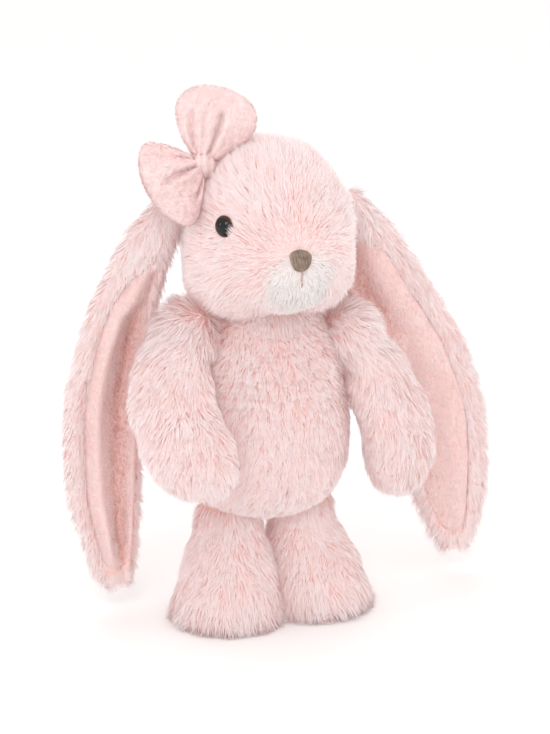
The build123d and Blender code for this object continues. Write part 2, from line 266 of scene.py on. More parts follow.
# painted glow: the bow's velour carries a faint emission that stands in for light scattered through its nap
BOW_VELOUR = pile_cloth("bow_velour_cloth", (0.88, 0.62, 0.60), (0.91, 0.74, 0.735), 1400, 90, 0.5,
                        glow=(0.04, 0.024, 0.022))
SOLE_VELOUR = pile_cloth("sole_velour_cloth", (0.82, 0.58, 0.56), (0.89, 0.70, 0.69), 1400, 90, 0.5)
FUR_SLOTS = [FUR_ROOT, FUR_MID, FUR_TIP, FUR_BRIGHT, WHITE_ROOT, WHITE_MID, WHITE_TIP]
# painted shade: a darker, redder nap shade for the shadowed valleys of the ear linings
NAP_PAINTED_SHADE = plain("nap_painted_shade", (0.84, 0.44, 0.38))
NAP_SLOTS = [NAP_MID, NAP_LIGHT]
LINING_SLOTS = [NAP_MID, NAP_LIGHT, NAP_PAINTED_SHADE]


# ---------------------------------------------------------------- pile strands

MAX_STRANDS = 38000  # in one object
STEPS = np.array([0.34, 0.34, 0.32])  # a strand's three links, as shares of its length
WIDTHS = np.array([1.0, 0.95, 0.7])  # and of its width
SHADE_MIX = 0.8  # how far a strand is shaded as the skin under it


def clump(curves, roots, cell, pull, seed):
    """Draws the strands whose roots share a wandering cell towards that cell's mean curve."""
    warped = roots + 0.55 * cell * wave_vectors(roots, cell * 4.5, seed)
    key = np.floor(warped / cell).astype(np.int64) + 400
    code = (key[:, 0] * 1000 + key[:, 1]) * 1000 + key[:, 2]
    _, group = np.unique(code, return_inverse=True)
    group = group.ravel()
    sizes = np.bincount(group).astype(float)
    for k, share in ((1, 0.12), (2, 0.55), (3, 1.0)):
        mean = np.stack([np.bincount(group, curves[:, k, axis]) / sizes for axis in range(3)], axis=1)
        curves[:, k] += pull * share * (mean[group] - curves[:, k])
    return curves


def grow(name, body, points, normals, comb, length, rng, seed, stand=56, lay=8, curl=0.0, cell=3.2, pull=0.4,
         width=0.27, bright=0.3, white=None, deep=None, slots=FUR_SLOTS):
    """Curved tapering strands of pile from points on a skin.

    A strand rises at the angle stand and bends over to lay, in degrees, along comb. Lengths, width and the cell
    of a clump are in mm. bright is the share of pale strands; white marks another shade, deep the painted shade of
    folds.
    """
    count = len(points)
    length = np.broadcast_to(length, count) * rng.uniform(0.78, 1.12, count)
    comb = comb - (comb * normals).sum(1, keepdims=True) * normals
    comb = unit(comb + 1e-6)
    side = np.cross(normals, comb)
    turn = np.radians(rng.normal(0, 20, count))
    phase = waves(points, 9.0, seed + 50) * 3.0 + rng.uniform(0, 0.8, count)
    stand = np.radians(np.broadcast_to(stand, count) + rng.normal(0, 7, count))
    lay = np.radians(np.broadcast_to(lay, count) + rng.normal(0, 6, count))
    curves = np.zeros((count, 4, 3))
    curves[:, 0] = points - 0.4 * normals
    directions = np.zeros((count, 3, 3))
    reach = 0.0
    for k in range(3):
        middle = reach + STEPS[k] / 2
        angle = stand + (lay - stand) * np.sqrt(middle)
        swing = turn + curl * np.sin(phase + middle * 5.5)
        along = np.cos(swing)[:, None] * comb + np.sin(swing)[:, None] * side
        direction = np.cos(angle)[:, None] * along + np.sin(angle)[:, None] * normals
        direction = unit(direction)
        curves[:, k + 1] = curves[:, k] + (length * STEPS[k])[:, None] * direction
        reach += STEPS[k]
    curves = clump(curves, points, cell * 2.3, pull * 0.5, seed + 7)
    curves = clump(curves, points, cell, pull, seed)
    # nothing hangs through the floor
    curves[..., 2] = np.maximum(curves[..., 2], rng.uniform(0.3, 1.0, count)[:, None])
    for k in range(3):
        directions[:, k] = unit(curves[:, k + 1] - curves[:, k] + 1e-6)
    roll = np.radians(rng.uniform(-50, 50, count))
    verts = np.zeros((count, 7, 3))
    shade = np.zeros((count, 7, 3))
    for k in range(3):
        flat = -unit(np.cross(normals, directions[:, k]) + 1e-6)
        up = np.cross(flat, directions[:, k])
        across = np.cos(roll)[:, None] * flat + np.sin(roll)[:, None] * up
        half = (width * WIDTHS[k] / 2) * across
        verts[:, 2 * k] = curves[:, k] - half
        verts[:, 2 * k + 1] = curves[:, k] + half
        facing = unit(np.cross(across, directions[:, k]))
        mixed = unit(SHADE_MIX * normals + (1 - SHADE_MIX) * facing)
        shade[:, 2 * k] = mixed
        shade[:, 2 * k + 1] = mixed
    verts[:, 6] = curves[:, 3]
    shade[:, 6] = shade[:, 5]
    chosen = rng.random(count)
    tone = (waves(points, 14.0, seed + 90) * 0.35 + chosen) > (1 - bright)
    strip = np.array([[0, 1, 3], [0, 3, 2], [2, 3, 5], [2, 5, 4], [4, 5, 6]])
    parts = max(1, math.ceil(count / MAX_STRANDS))
    for part in range(parts):
        these = np.arange(count)[part::parts]
        v = verts[these].reshape(-1, 3)
        n = shade[these].reshape(-1, 3)
        f = (strip[None] + 7 * np.arange(len(these))[:, None, None]).reshape(-1, 3)
        if len(slots) < 4:
            base = np.where(chosen[these] < 0.45, 0, 1)
            if deep is not None:
                base[deep[these]] = 2
            face_slots = np.repeat(base, 5)
        else:
            bands = np.array([0, 0, 1, 1, 2])
            face_slots = np.tile(bands, (len(these), 1))
            face_slots[tone[these]] = np.array([1, 1, 2, 2, 3])
            if white is not None:
                pale = white[these]
                face_slots[pale] = np.array([4, 4, 5, 5, 6])
            face_slots = face_slots.ravel()
        label = f"{name}_{part + 1}" if parts > 1 else name
        obj = make_object(label, v, f, slots, True, face_slots)
        obj.data.normals_split_custom_set_from_vertices(n)
        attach(obj, body)


def skin_piece(name, body, skin, material, replaced):
    """A padded fabric piece that stands for the CAD nodes in replaced."""
    obj = make_object(name, skin.verts, skin.faces, [material])
    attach(obj, body)
    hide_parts(*replaced)


# ---------------------------------------------------------------- head

# height, half width, half depth
HEAD_Y = -1.5
HEAD = [
    (149.8, 3, 2.5), (150, 13, 11), (151, 21.5, 18), (156, 31, 26.5), (164, 35.5, 32.5), (175, 36, 36),
    (186, 34.8, 36.5), (197, 32.3, 34.5), (207, 26.5, 29), (214.5, 19.5, 21), (219.5, 11, 12), (221, 5, 5.5),
    (221.4, 1.5, 1.6),
]
MUZZLE_CENTRE = np.array([0, -23, 168.0])
MUZZLE_RADII = np.array([18, 18, 15.0])
NOSE_CENTRE = np.array([0, -41.0, 176.4])
EYES = {"right": np.array([-28.8, -20.2, 189.8]), "left": np.array([28.8, -20.2, 189.8])}
EYE_RADIUS = 5.0
WHITE_CENTRE = np.array([1.2, -38.0, 166.8])
WHITE_RADIUS = 12.8


def head_skin():
    """The skull's ellipses with the muzzle blended in front and a dimple at each eye."""
    rings, segs = 110, 144
    table = smooth_table(HEAD, rings)
    turn = np.linspace(0, 2 * math.pi, segs, endpoint=False)
    c, s = np.cos(turn), np.sin(turn)
    grid = np.zeros((rings, segs, 3))
    soft = 2.4
    for i, (z, rx, ry) in enumerate(table):
        skull = 1 / np.sqrt((c / rx) ** 2 + (s / ry) ** 2)
        level = 1 - ((z - MUZZLE_CENTRE[2]) / MUZZLE_RADII[2]) ** 2
        reach = skull
        if level > 0:
            wide = MUZZLE_RADII[0] * math.sqrt(level)
            back = MUZZLE_CENTRE[1] - HEAD_Y
            root = wide**2 - (back * c) ** 2
            snout = np.where((root > 0) & (s < 0), back * s + np.sqrt(np.maximum(root, 0)), 0)
            reach = soft * np.logaddexp(skull / soft, snout / soft)
        grid[i] = np.stack([reach * c, reach * s + HEAD_Y, np.full(segs, z)], 1)
    out = unit(grid - np.array([0, HEAD_Y, 185]))
    flat = grid.reshape(-1, 3)
    dimple = sum(bell(np.linalg.norm(flat - eye, axis=1), 0, 6.5) for eye in EYES.values())
    grid = grid - out * (0.5 + 1.3 * dimple.reshape(rings, segs))[..., None]
    return Skin(*ring_grid(grid))


def is_white(points, spread=0.0):
    """The white patch round the mouth: below and beside the nose, with a soft edge."""
    gap = (points - WHITE_CENTRE) * np.array([0.85, 0.8, 1.05])
    near = np.linalg.norm(gap, axis=1) + spread
    return (near < WHITE_RADIUS) & (points[:, 1] < -20)


def cut_skin(skin, keep):
    """Splits a skin's faces by a test on their centres."""
    centres = np.array([skin.verts[list(f)].mean(0) for f in skin.faces])
    chosen = keep(centres)
    faces = [f for f, c in zip(skin.faces, chosen) if c]
    used = sorted({v for f in faces for v in f})
    index = {v: i for i, v in enumerate(used)}
    return skin.verts[used], [tuple(index[v] for v in f) for f in faces]


def walled(obj, thickness=2.0):
    """Gives a cut piece of plush its real wall, so that it is a closed form."""
    wall = obj.modifiers.new("wall", "SOLIDIFY")
    wall.thickness = thickness / 1000
    wall.offset = -1


head = head_skin()
for name, keep, material, slot_name, nodes in (
    ("head_plush", lambda p: ~is_white(p), BACKING, "pink_fur", ["head_cover", "head_stuffing"]),
    ("muzzle_plush", is_white, WHITE_BACKING, "white_fur", ["muzzle_cover"]),
):
    verts, faces = cut_skin(head, keep)
    cover = make_object(name, verts, faces, [material])
    walled(cover)
    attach(cover, "head")
    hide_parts(*nodes)


def eye_gap(points):
    """Distance from the edge of the nearer eye, in mm."""
    gaps = [np.linalg.norm(points - eye, axis=1) for eye in EYES.values()]
    return np.minimum(*gaps) - EYE_RADIUS


def head_comb(points):
    """Away from the nose, down the nape, down the jowls, and round the right eye."""
    away = unit(points - (NOSE_CENTRE + [0, 6, -2]))
    nape = step(2, 24, points[:, 1])[:, None]
    comb = (1 - 0.8 * nape) * away + nape * DOWN
    comb += 0.22 * wave_vectors(points, 26, 11) + 0.15 * wave_vectors(points, 9, 21)
    comb[:, 2] -= 0.30 * step(200, 170, points[:, 2]) + 0.9 * step(172, 156, points[:, 2])
    radial = unit(points - EYES["right"])
    gap = np.linalg.norm(points - EYES["right"], axis=1) - EYE_RADIUS
    inward = np.minimum(0, (comb * radial).sum(1)) * step(8, 3.5, gap)
    comb += (0.5 * step(3, 0.5, gap) - 1.1 * inward)[:, None] * radial
    return comb


rng = np.random.default_rng(7)
points, normals = head.sample(340, rng)
nose_gap = np.linalg.norm((points - NOSE_CENTRE) * [1, 0.8, 1], axis=1) - 4.8
free = (eye_gap(points) > -0.4) & (nose_gap > -0.4)
points, normals, nose_gap = points[free], normals[free], nose_gap[free]
length = 4.0 + 6.0 * step(0, 24, nose_gap)
# short fur at the right eye, long fur at the left one
bare = np.where(points[:, 0] < 0, 0.24, 1.15)
length *= bare + (1 - bare) * step(0, 7, eye_gap(points))
length *= 1 + 0.12 * waves(points, 12, 31)
jowl = step(172, 158, points[:, 2]) * step(20, 30, nose_gap)
length += 4.5 * jowl + 3.0 * step(200, 216, points[:, 2])
stand = 34 + 24 * step(2, 18, nose_gap) + np.where((eye_gap(points) < 4) & (points[:, 0] > 0), 22, 0)
white = is_white(points, rng.normal(0, 1.6, len(points)))
grow("head_pile", "head", points, normals, head_comb(points), length, rng, 3, stand=stand, lay=14, curl=0.25,
     cell=3.0, pull=0.45, bright=0.42 + 0.58 * step(4, 1, eye_gap(points)), white=white)

# ---------------------------------------------------------------- eyes, nose and mouth


def eye_material(name, centre):
    """Glossy black pupil with a thin brown iris ring, by distance from the eye's own axis."""
    material = plain(name, (0.004, 0.003, 0.003), 0.08)
    tree = material.node_tree
    nodes, links = tree.nodes, tree.links
    shader = nodes["Principled BSDF"]
    shader.inputs["Specular IOR Level"].default_value = 0.4
    place = nodes.new("ShaderNodeTexCoord")
    offset = nodes.new("ShaderNodeVectorMath")
    offset.operation = "SUBTRACT"
    offset.inputs[1].default_value = Vector(centre / 1000 + MIDDLE)
    links.new(place.outputs["Object"], offset.inputs[0])
    axis = unit(np.array([centre[0] / 34.2**2, (centre[1] - HEAD_Y) / 36.2**2, 0]))
    cross = nodes.new("ShaderNodeVectorMath")
    cross.operation = "CROSS_PRODUCT"
    cross.inputs[1].default_value = Vector(axis)
    links.new(offset.outputs[0], cross.inputs[0])
    length = nodes.new("ShaderNodeVectorMath")
    length.operation = "LENGTH"
    links.new(cross.outputs[0], length.inputs[0])
    fleck = nodes.new("ShaderNodeTexNoise")
    fleck.inputs["Scale"].default_value = 1500
    links.new(place.outputs["Object"], fleck.inputs["Vector"])
    shift = nodes.new("ShaderNodeMath")
    shift.operation = "MULTIPLY_ADD"
    shift.inputs[1].default_value = 0.0004
    links.new(fleck.outputs["Fac"], shift.inputs[0])
    links.new(length.outputs["Value"], shift.inputs[2])
    scale = nodes.new("ShaderNodeMath")
    scale.operation = "MULTIPLY"
    scale.inputs[1].default_value = 180
    links.new(shift.outputs[0], scale.inputs[0])
    ramp = nodes.new("ShaderNodeValToRGB")
    ramp.color_ramp.elements[0].position = 0.79
    ramp.color_ramp.elements[0].color = (0.004, 0.003, 0.003, 1)
    ramp.color_ramp.elements[1].position = 0.85
    ramp.color_ramp.elements[1].color = (0.06, 0.022, 0.008, 1)
    third = ramp.color_ramp.elements.new(0.91)
    third.color = (0.09, 0.035, 0.014, 1)
    last = ramp.color_ramp.elements.new(0.96)
    last.color = (0.02, 0.01, 0.006, 1)
    links.new(scale.outputs[0], ramp.inputs["Fac"])
    links.new(ramp.outputs["Color"], shader.inputs["Base Color"])
    return material


def dress_node(node, material):
    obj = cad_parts[node]
    for k in range(len(obj.material_slots)):
        obj.material_slots[k].material = material


for side, centre in EYES.items():
    dress_node(f"{side}_eye", eye_material(f"{side}_eye_gloss", centre))
WASHER = pile_cloth("washer_moulding", (0.55, 0.55, 0.54), (0.66, 0.66, 0.65), 2500, 200, 0.1, 0.5, 0.0)
PELLETS = pile_cloth("pellet_bag", (0.68, 0.67, 0.64), (0.82, 0.81, 0.78), 700, 300, 0.6, 0.7, 0.0)
for side in ("right", "left"):
    dress_node(f"{side}_eye_washer", WASHER)
    dress_node(f"{side}_foot_pellets", PELLETS)


def tube(path, radius, sides=6):
    """Verts and faces of a closed tube along a short smooth path."""
    path = np.asarray(path, float)
    tangent = unit(np.gradient(path, axis=0))
    reference = np.array([0.31, 0.17, 0.93])
    rings = []
    for p, t in zip(path, tangent):
        u = unit(np.cross(t, reference))
        v = np.cross(t, u)
        angle = np.linspace(0, 2 * math.pi, sides, endpoint=False)
        rings.append(p + radius * (np.cos(angle)[:, None] * u + np.sin(angle)[:, None] * v))
    return ring_grid(np.array(rings)[:, ::-1])


def joined(meshes):
    verts, faces, base = [], [], 0
    for v, f in meshes:
        verts.append(v)
        faces.extend(tuple(i + base for i in face) for face in f)
        base += len(v)
    return np.vstack(verts), faces


THREAD = pile_cloth("nose_satin_thread", (0.17, 0.115, 0.085), (0.38, 0.28, 0.22), 2600, 300, 0.6, 0.45, 0.3)
MOUTH_THREAD = pile_cloth("mouth_cotton_thread", (0.45, 0.30, 0.26), (0.58, 0.42, 0.37), 2600, 300, 0.6, 0.6,
                          0.3)
NOSE_UP = unit(np.array([0, 0.29, 0.957]))
NOSE_OUT = unit(np.array([0, -0.957, 0.29]))
NOSE_SIDE = np.array([1.0, 0, 0])
NOSE_BASE = np.array([0, -37.3, 175.4]) + 2.2 * NOSE_OUT


def nose_half_width(v):
    """Half width of the rounded triangle at height v, from -1 at the tip to 1 on top."""
    return 5.3 * np.clip(1 - np.abs(v) ** 3.2, 0, 1) ** 0.42 * (0.84 + 0.16 * v)


def nose_point(u, v):
    dome = np.sqrt(np.clip(1 - 0.75 * (u * u) - 0.65 * (v * v), 0, 1))
    return NOSE_BASE + NOSE_SIDE * (u * nose_half_width(v)) + NOSE_UP * (4.6 * v) + NOSE_OUT * (2.9 * dome)


stitches = []
for k in range(15):
    u = -0.96 + 1.92 * k / 14
    heights = np.linspace(-0.97, 0.99, 12)
    path = [nose_point(u + 0.03 * math.sin(k * 2.3 + 3 * v), v) for v in heights]
    path = [path[0] - 1.6 * NOSE_OUT] + path + [path[-1] - 1.6 * NOSE_OUT]
    stitches.append(tube(path, 0.36))
core = []
for v in np.linspace(-0.99, 0.99, 14):
    row = [nose_point(u, v) - 0.12 * NOSE_OUT for u in np.linspace(-1, 1, 16)]
    back = [p - 2.4 * NOSE_OUT for p in row[::-1]]
    core.append(row + back)
stitches.append(ring_grid(np.array(core)[:, ::-1]))
verts, faces = joined(stitches)
nose = make_object("nose_satin_stitch", verts, faces, [THREAD])
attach(nose, "head")
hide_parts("nose")

mouth = []
for k in range(3):
    a, b = 0.02 + 0.33 * k, 0.31 + 0.33 * k
    path = []
    for t in np.linspace(a, b, 7):
        y = -41.55 + 1.0 * t * t
        lift = 0.32 * math.sin(math.pi * (t - a) / (b - a))
        path.append([0.1 * math.sin(9 * t), y - lift, 172.2 - 8.2 * t])
    mouth.append(tube(path, 0.38))
verts, faces = joined(mouth)
mouth_line = make_object("mouth_stitches", verts, faces, [MOUTH_THREAD])
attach(mouth_line, "head")
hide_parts("mouth_stitch")

# ---------------------------------------------------------------- neck, torso and tail

neck_rows = [(z, 0, -0.5, r, r * 0.94, 0) for z, r in
             ((130, 4), (131.5, 10), (135, 15), (140, 17.5), (145, 18), (150, 17), (155, 13), (157.5, 8),
              (158.5, 3))]
neck = Skin(*ring_grid(loft(neck_rows, 30, 48)))
skin_piece("neck_plush", "neck", neck, BACKING, ["neck_ball"])
rng = np.random.default_rng(17)
points, normals = neck.sample(260, rng, lambda p, n: np.where((p[:, 2] > 134) & (p[:, 2] < 154), 1.0, 0.0))
comb = DOWN + 0.4 * wave_vectors(points, 14, 5)
grow("neck_pile", "neck", points, normals, comb, 8.5, rng, 12, stand=64, lay=38, curl=0.5, cell=3.0, bright=0.1)

# height, half width, half depth
TORSO = [
    (49.5, 3, 2.4), (50.5, 11, 9), (53.5, 21, 16), (61, 31, 23), (73, 36.5, 26.5), (86, 37.5, 27.5),
    (98, 37, 27.5), (110, 35.5, 26.5), (122, 33, 24.5), (132, 29.5, 21.5), (138, 26, 19), (143, 23, 17.5),
    (147.5, 18, 14.5), (150, 11, 9), (150.6, 2, 2),
]


def torso_grid():
    """The body's ellipses, drawn in along the side, front and back seams."""
    grid = loft([(z, 0, 0, rx, ry, 0) for z, rx, ry in TORSO], 72, 96)
    x, y, z = grid[..., 0], grid[..., 1], grid[..., 2]
    out = np.stack([x, y, np.zeros_like(x)], -1)
    out = out / np.maximum(np.linalg.norm(out, axis=-1, keepdims=True), 1e-6)
    sides = bell(np.abs(y), 0, 2.2) * 1.3
    front = bell(x, 0, 2.0) * (y < 0) * 1.4 * step(104, 90, z)
    back = bell(x, 0, 2.0) * (y > 0) * 1.2
    lumps = 0.5 * waves(grid.reshape(-1, 3), 38, 61).reshape(x.shape)
    dip = (sides + front + back) * step(50, 60, z) * step(146, 136, z) - lumps + 0.6
    return grid - out * dip[..., None]


torso = Skin(*ring_grid(torso_grid()))
skin_piece("torso_plush", "torso", torso, BACKING, ["torso_cover", "torso_stuffing"])
rng = np.random.default_rng(27)
points, normals = torso.sample(330, rng, lambda p, n: np.where(p[:, 2] < 147, 1.0, 0.0))
z = points[:, 2]
chest = step(92, 116, z + 4 * waves(points, 22, 71)) * step(8, -6, points[:, 1])
comb = np.stack([points[:, 0] * 0.012, points[:, 1] * 0.01, -np.ones(len(z))], 1)
comb += (0.22 + 0.16 * chest)[:, None] * wave_vectors(points, 15, 41) + 0.12 * wave_vectors(points, 7, 45)
comb[:, 0] += 0.2 * np.sign(points[:, 0]) * step(100, 60, z) * step(2, 12, np.abs(points[:, 0]))
length = (9.2 - 2.6 * chest) * (1 + 0.12 * waves(points, 12, 81))
grow("torso_pile", "torso", points, normals, comb, length, rng, 23, stand=54 + 8 * chest, lay=9 + 18 * chest,
     curl=0.5, pull=0.5, bright=0.22 + 0.2 * step(70, 60, z))

TAIL_RADIUS = 10.4
tail_rows = []
for a in np.linspace(-84, 84, 11):
    r = TAIL_RADIUS * math.cos(math.radians(a))
    tail_rows.append((68 + TAIL_RADIUS * math.sin(math.radians(a)), 0, 28, r, r, 0))
tail = Skin(*ring_grid(loft(tail_rows, 24, 32)))
skin_piece("tail_plush", "torso", tail, BACKING, ["tail"])
rng = np.random.default_rng(37)
points, normals = tail.sample(330, rng, lambda p, n: np.where(p[:, 1] > 22, 1.0, 0.0))
comb = np.array([0, 0.1, -1.0]) + 0.35 * wave_vectors(points, 12, 51)
grow("tail_pile", "torso", points, normals, comb, 8.5, rng, 32, stand=62, lay=20, curl=0.4, bright=0.6)

# ---------------------------------------------------------------- arms

# height, middle x and y, half length across the palm, half thickness
ARM_TURN = 50.0
ARMS = {
    "right": [
        (73.6, -47, -31, 2, 1.5), (74.5, -47, -31, 8, 5), (78.5, -47.3, -30.5, 14.5, 10),
        (87, -48.3, -28.5, 19, 13.5), (98, -50.3, -23, 19.5, 14), (110, -51.5, -14.5, 18, 14),
        (121, -49, -7.5, 16, 13.8), (130, -45.5, -4, 14.2, 13.2), (137, -41, -2.5, 13, 12.8),
        (144, -39.5, -2, 11, 10.8), (148.5, -39, -2, 7.5, 7), (150.4, -39, -2, 2, 2),
    ],
    "left": [
        (59.2, 60.5, -16, 2, 1.5), (60, 60.5, -16, 8, 5), (64, 60.7, -16, 14.5, 10),
        (76, 61, -15.5, 19, 13.5), (91, 59.5, -13, 19.5, 14), (106, 54.5, -8.5, 18, 14),
        (119, 49.5, -4.5, 15.5, 13.5), (131, 39.5, -3, 12.8, 12.4),
        (138, 38.5, -2, 11, 10.5), (142, 38, -2, 7, 6.5), (143.6, 38, -2, 2, 2),
    ],
}

for k, (side, rows) in enumerate(ARMS.items()):
    sign = 1 if side == "left" else -1
    grid = loft([(z, x, y, a, b, sign * ARM_TURN) for z, x, y, a, b in rows], 60, 72)
    arm = Skin(*ring_grid(grid))
    arm.verts = arm.verts - 0.4 * arm.normals * (1 - waves(arm.verts, 26, 101 + k))[:, None]
    arm = Skin(arm.verts, arm.faces)
    body = f"{side}_arm"
    skin_piece(f"{side}_arm_plush", body, arm, BACKING,
               [f"{side}_arm_cover", f"{side}_arm_stuffing"])
    rng = np.random.default_rng(47 + k)
    points, normals = arm.sample(330, rng)
    hand = step(30, 8, points[:, 2] - rows[0][0])
    centre = np.array([rows[3][1], rows[3][2], rows[3][0] + 12.0])
    comb = DOWN + 0.28 * wave_vectors(points, 22, 111 + k) + 0.14 * wave_vectors(points, 8, 121)
    comb += 0.8 * hand[:, None] * unit(points - centre)
    top = step(-22, -4, points[:, 2] - rows[-1][0])
    comb += step(-36, -10, points[:, 2] - rows[-1][0])[:, None] * np.array([sign * 0.9, -0.15, 0.15])
    length = (9.8 + 2.5 * top) * (1 + 0.13 * waves(points, 12, 131 + k))
    grow(f"{side}_arm_pile", body, points, normals, comb, length, rng, 43 + k, stand=56 + 8 * top,
         lay=10 + 12 * top + 8 * hand, curl=0.3, pull=0.45, bright=0.36 + 0.5 * top)

# ---------------------------------------------------------------- legs and soles

# height, how far forward along the foot, half length along and across it
LEG_SPLAY = 22.0
LEG = [
    (0.2, 7, 19.2, 18.2), (1.5, 7.2, 20.6, 19.6), (4, 7.5, 21.6, 20.4), (8, 8, 22.2, 21), (15, 8, 22.0, 21),
    (24, 6.5, 20, 19.5), (33, 3, 16.5, 16.5), (40, 0.8, 14, 14), (46, 0, 13, 13), (52, 0, 11.4, 11.4),
    (57, 0, 7.8, 7.8), (59, 0, 3, 3),
]

for k, side in enumerate(("right", "left")):
    sign = 1 if side == "left" else -1
    toe = np.array([sign * math.sin(math.radians(LEG_SPLAY)), -math.cos(math.radians(LEG_SPLAY)), 0])
    turn = math.degrees(math.atan2(toe[1], toe[0]))
    rows = []
    for z, along, a, b in LEG:
        rows.append((z, sign * 18.5 + along * toe[0], 3 + along * toe[1], a, b, turn))
    grid = loft(rows, 56, 72)
    leg = Skin(*ring_grid(grid))
    body = f"{side}_leg"
    skin_piece(f"{side}_leg_plush", body, leg, BACKING,
               [f"{side}_leg_cover", f"{side}_leg_stuffing"])
    rng = np.random.default_rng(57 + k)
    points, normals = leg.sample(340, rng, lambda p, n: np.where((p[:, 2] > 0.9) & (p[:, 2] < 54), 1.0, 0.0))
    z = points[:, 2]
    heel = unit(np.stack([points[:, 0] - sign * 18.5, points[:, 1] - 3, np.zeros(len(z))], 1))
    forward = step(0.1, 0.8, heel @ toe)
    low = step(22, 6, z)
    comb = DOWN + 0.25 * wave_vectors(points, 20, 141 + k) + 0.14 * wave_vectors(points, 8, 151)
    comb += (1.1 * low)[:, None] * heel
    length = (9.0 + 6.0 * low + 2.6 * forward * low) * (1 + 0.13 * waves(points, 12, 161 + k))
    length *= 0.5 + 0.5 * step(0.5, 7, z)
    stand = 60 - 14 * step(6, 1, z)
    grow(f"{side}_leg_pile", body, points, normals, comb, length, rng, 53 + k, stand=stand, lay=9 + 27 * low,
         curl=0.3, pull=0.42, bright=0.34)

    # the sole: a flat velour oval with its seam just inside the edge
    rings = []
    for r, height in ((0.05, 2.0), (0.6, 2.1), (0.97, 2.1), (1.0, 1.5), (1.0, 0.5), (0.985, 0.1), (0.95, 0.0),
                      (0.915, 0.22), (0.90, 0.25), (0.885, 0.22), (0.85, 0.0), (0.5, 0.0), (0.05, 0.0)):
        theta = np.linspace(0, 2 * math.pi, 64, endpoint=False)
        across = np.array([-toe[1], toe[0], 0])
        centre = np.array([sign * 18.5, 3, 0]) + 7 * toe
        ring = centre + r * (18.5 * np.cos(theta)[:, None] * toe + 17.5 * np.sin(theta)[:, None] * across)
        ring[:, 2] = height
        rings.append(ring)
    disc = Skin(*ring_grid(np.array(rings)[:, ::-1]))
    skin_piece(f"{side}_sole_velour", body, disc, SOLE_VELOUR, [f"{side}_sole"])

# ---------------------------------------------------------------- ears

# height, middle x and y, half width
EARS = {
    "right": [
        (15.4, -68.3, 20, 1.5), (16.5, -68.5, 20, 4.5), (25, -70, 20, 8.5), (40, -71.5, 20, 11.5),
        (60, -73.2, 20, 14.8), (85, -73.2, 20, 16.8), (111, -71, 20, 17), (140, -64.6, 19, 15.1),
        (156, -60.5, 17, 13), (172, -55, 14, 11.5),
        (183, -49.8, 12.5, 10.2), (190, -46, 11.5, 8), (197, -42.5, 10, 5.5), (198.6, -41.8, 10, 1.5),
    ],
    "left": [
        (14, 104.6, 8, 1.5), (15, 104.5, 8, 4.5), (20, 104.2, 8, 7.5), (30, 103, 8, 12), (47, 101, 8, 17.4),
        (70, 100, 8.5, 18), (88, 97, 9, 18.5), (106, 89.8, 10, 20.2), (121, 82.5, 10, 21.5),
        (134, 74.3, 10, 21.7), (148, 64.8, 9.5, 21.8), (166, 56, 9, 18), (176, 52.3, 8.5, 14.5),
        (186, 47.2, 8, 9.8), (195, 42, 7, 5.5), (196.6, 41.3, 7, 1.5),
    ],
}

# where the lining starts and ends across the ear, from outer edge -1 to inner edge 1: height, outer and inner seam
LININGS = {
    "right": np.array([(20, -0.74, 0.8), (46, -0.76, 0.86), (71, -0.68, 0.88), (130, -0.68, 0.88),
                       (150, -0.64, 0.66), (161, -0.36, 0.56), (166, -0.08, 0.5), (172, 0.28, 0.42)]),
    "left": np.array([(18, -0.46, 0.8), (48, -0.51, 0.88), (100, -0.56, 0.92), (150, -0.54, 0.93),
                      (162, -0.49, 0.92), (169, -0.40, 0.88), (173, 0.0, 0.84), (176, 0.42, 0.8)]),
}


def seams(side, z):
    table = LININGS[side]
    return np.interp(z, table[:, 0], table[:, 1]), np.interp(z, table[:, 0], table[:, 2])


def ear_front(side, u, z):
    """How far the ear's front stands forward of its middle at u, from outer edge -1 to inner edge 1."""
    ends = step(16, 40, z) * step(200, 170, z)
    outer, inner = seams(side, z)
    rim = 1.4 * bell(u, (outer - 1) / 2, 0.2)
    seam = -1.6 * bell(u, outer, 0.06)
    if side == "right":
        where = np.interp(z, (28, 130, 145, 152, 165), (-0.30, -0.36, -0.30, -0.05, 0.15))
        wide = np.interp(z, (28, 130, 145, 152), (0.24, 0.24, 0.30, 0.44))
        ridge = 3.8 * bell(u, where, wide)
        valley = -4.2 * bell(u, 0.36, 0.27) * step(156, 132, z)
        flap = 1.6 * bell(u, 0.80, 0.16)
        return 2.6 + (rim + seam + ridge + valley + flap) * ends
    plump = 1.8 * bell(u, -0.2, 0.35)
    fold = -4.6 * bell(u, 0.52, 0.26) * step(120, 150, z) - 1.2 * bell(u, 0.5, 0.25)
    edge = 1.2 * bell(u, 0.88, 0.12)
    return 2.6 + (rim + seam + plump + fold + edge) * ends


def ear_edge(u):
    """Rounds the front off to nothing at both edges."""
    return np.sqrt(np.clip(1 - np.abs(u) ** 5, 0, 1))


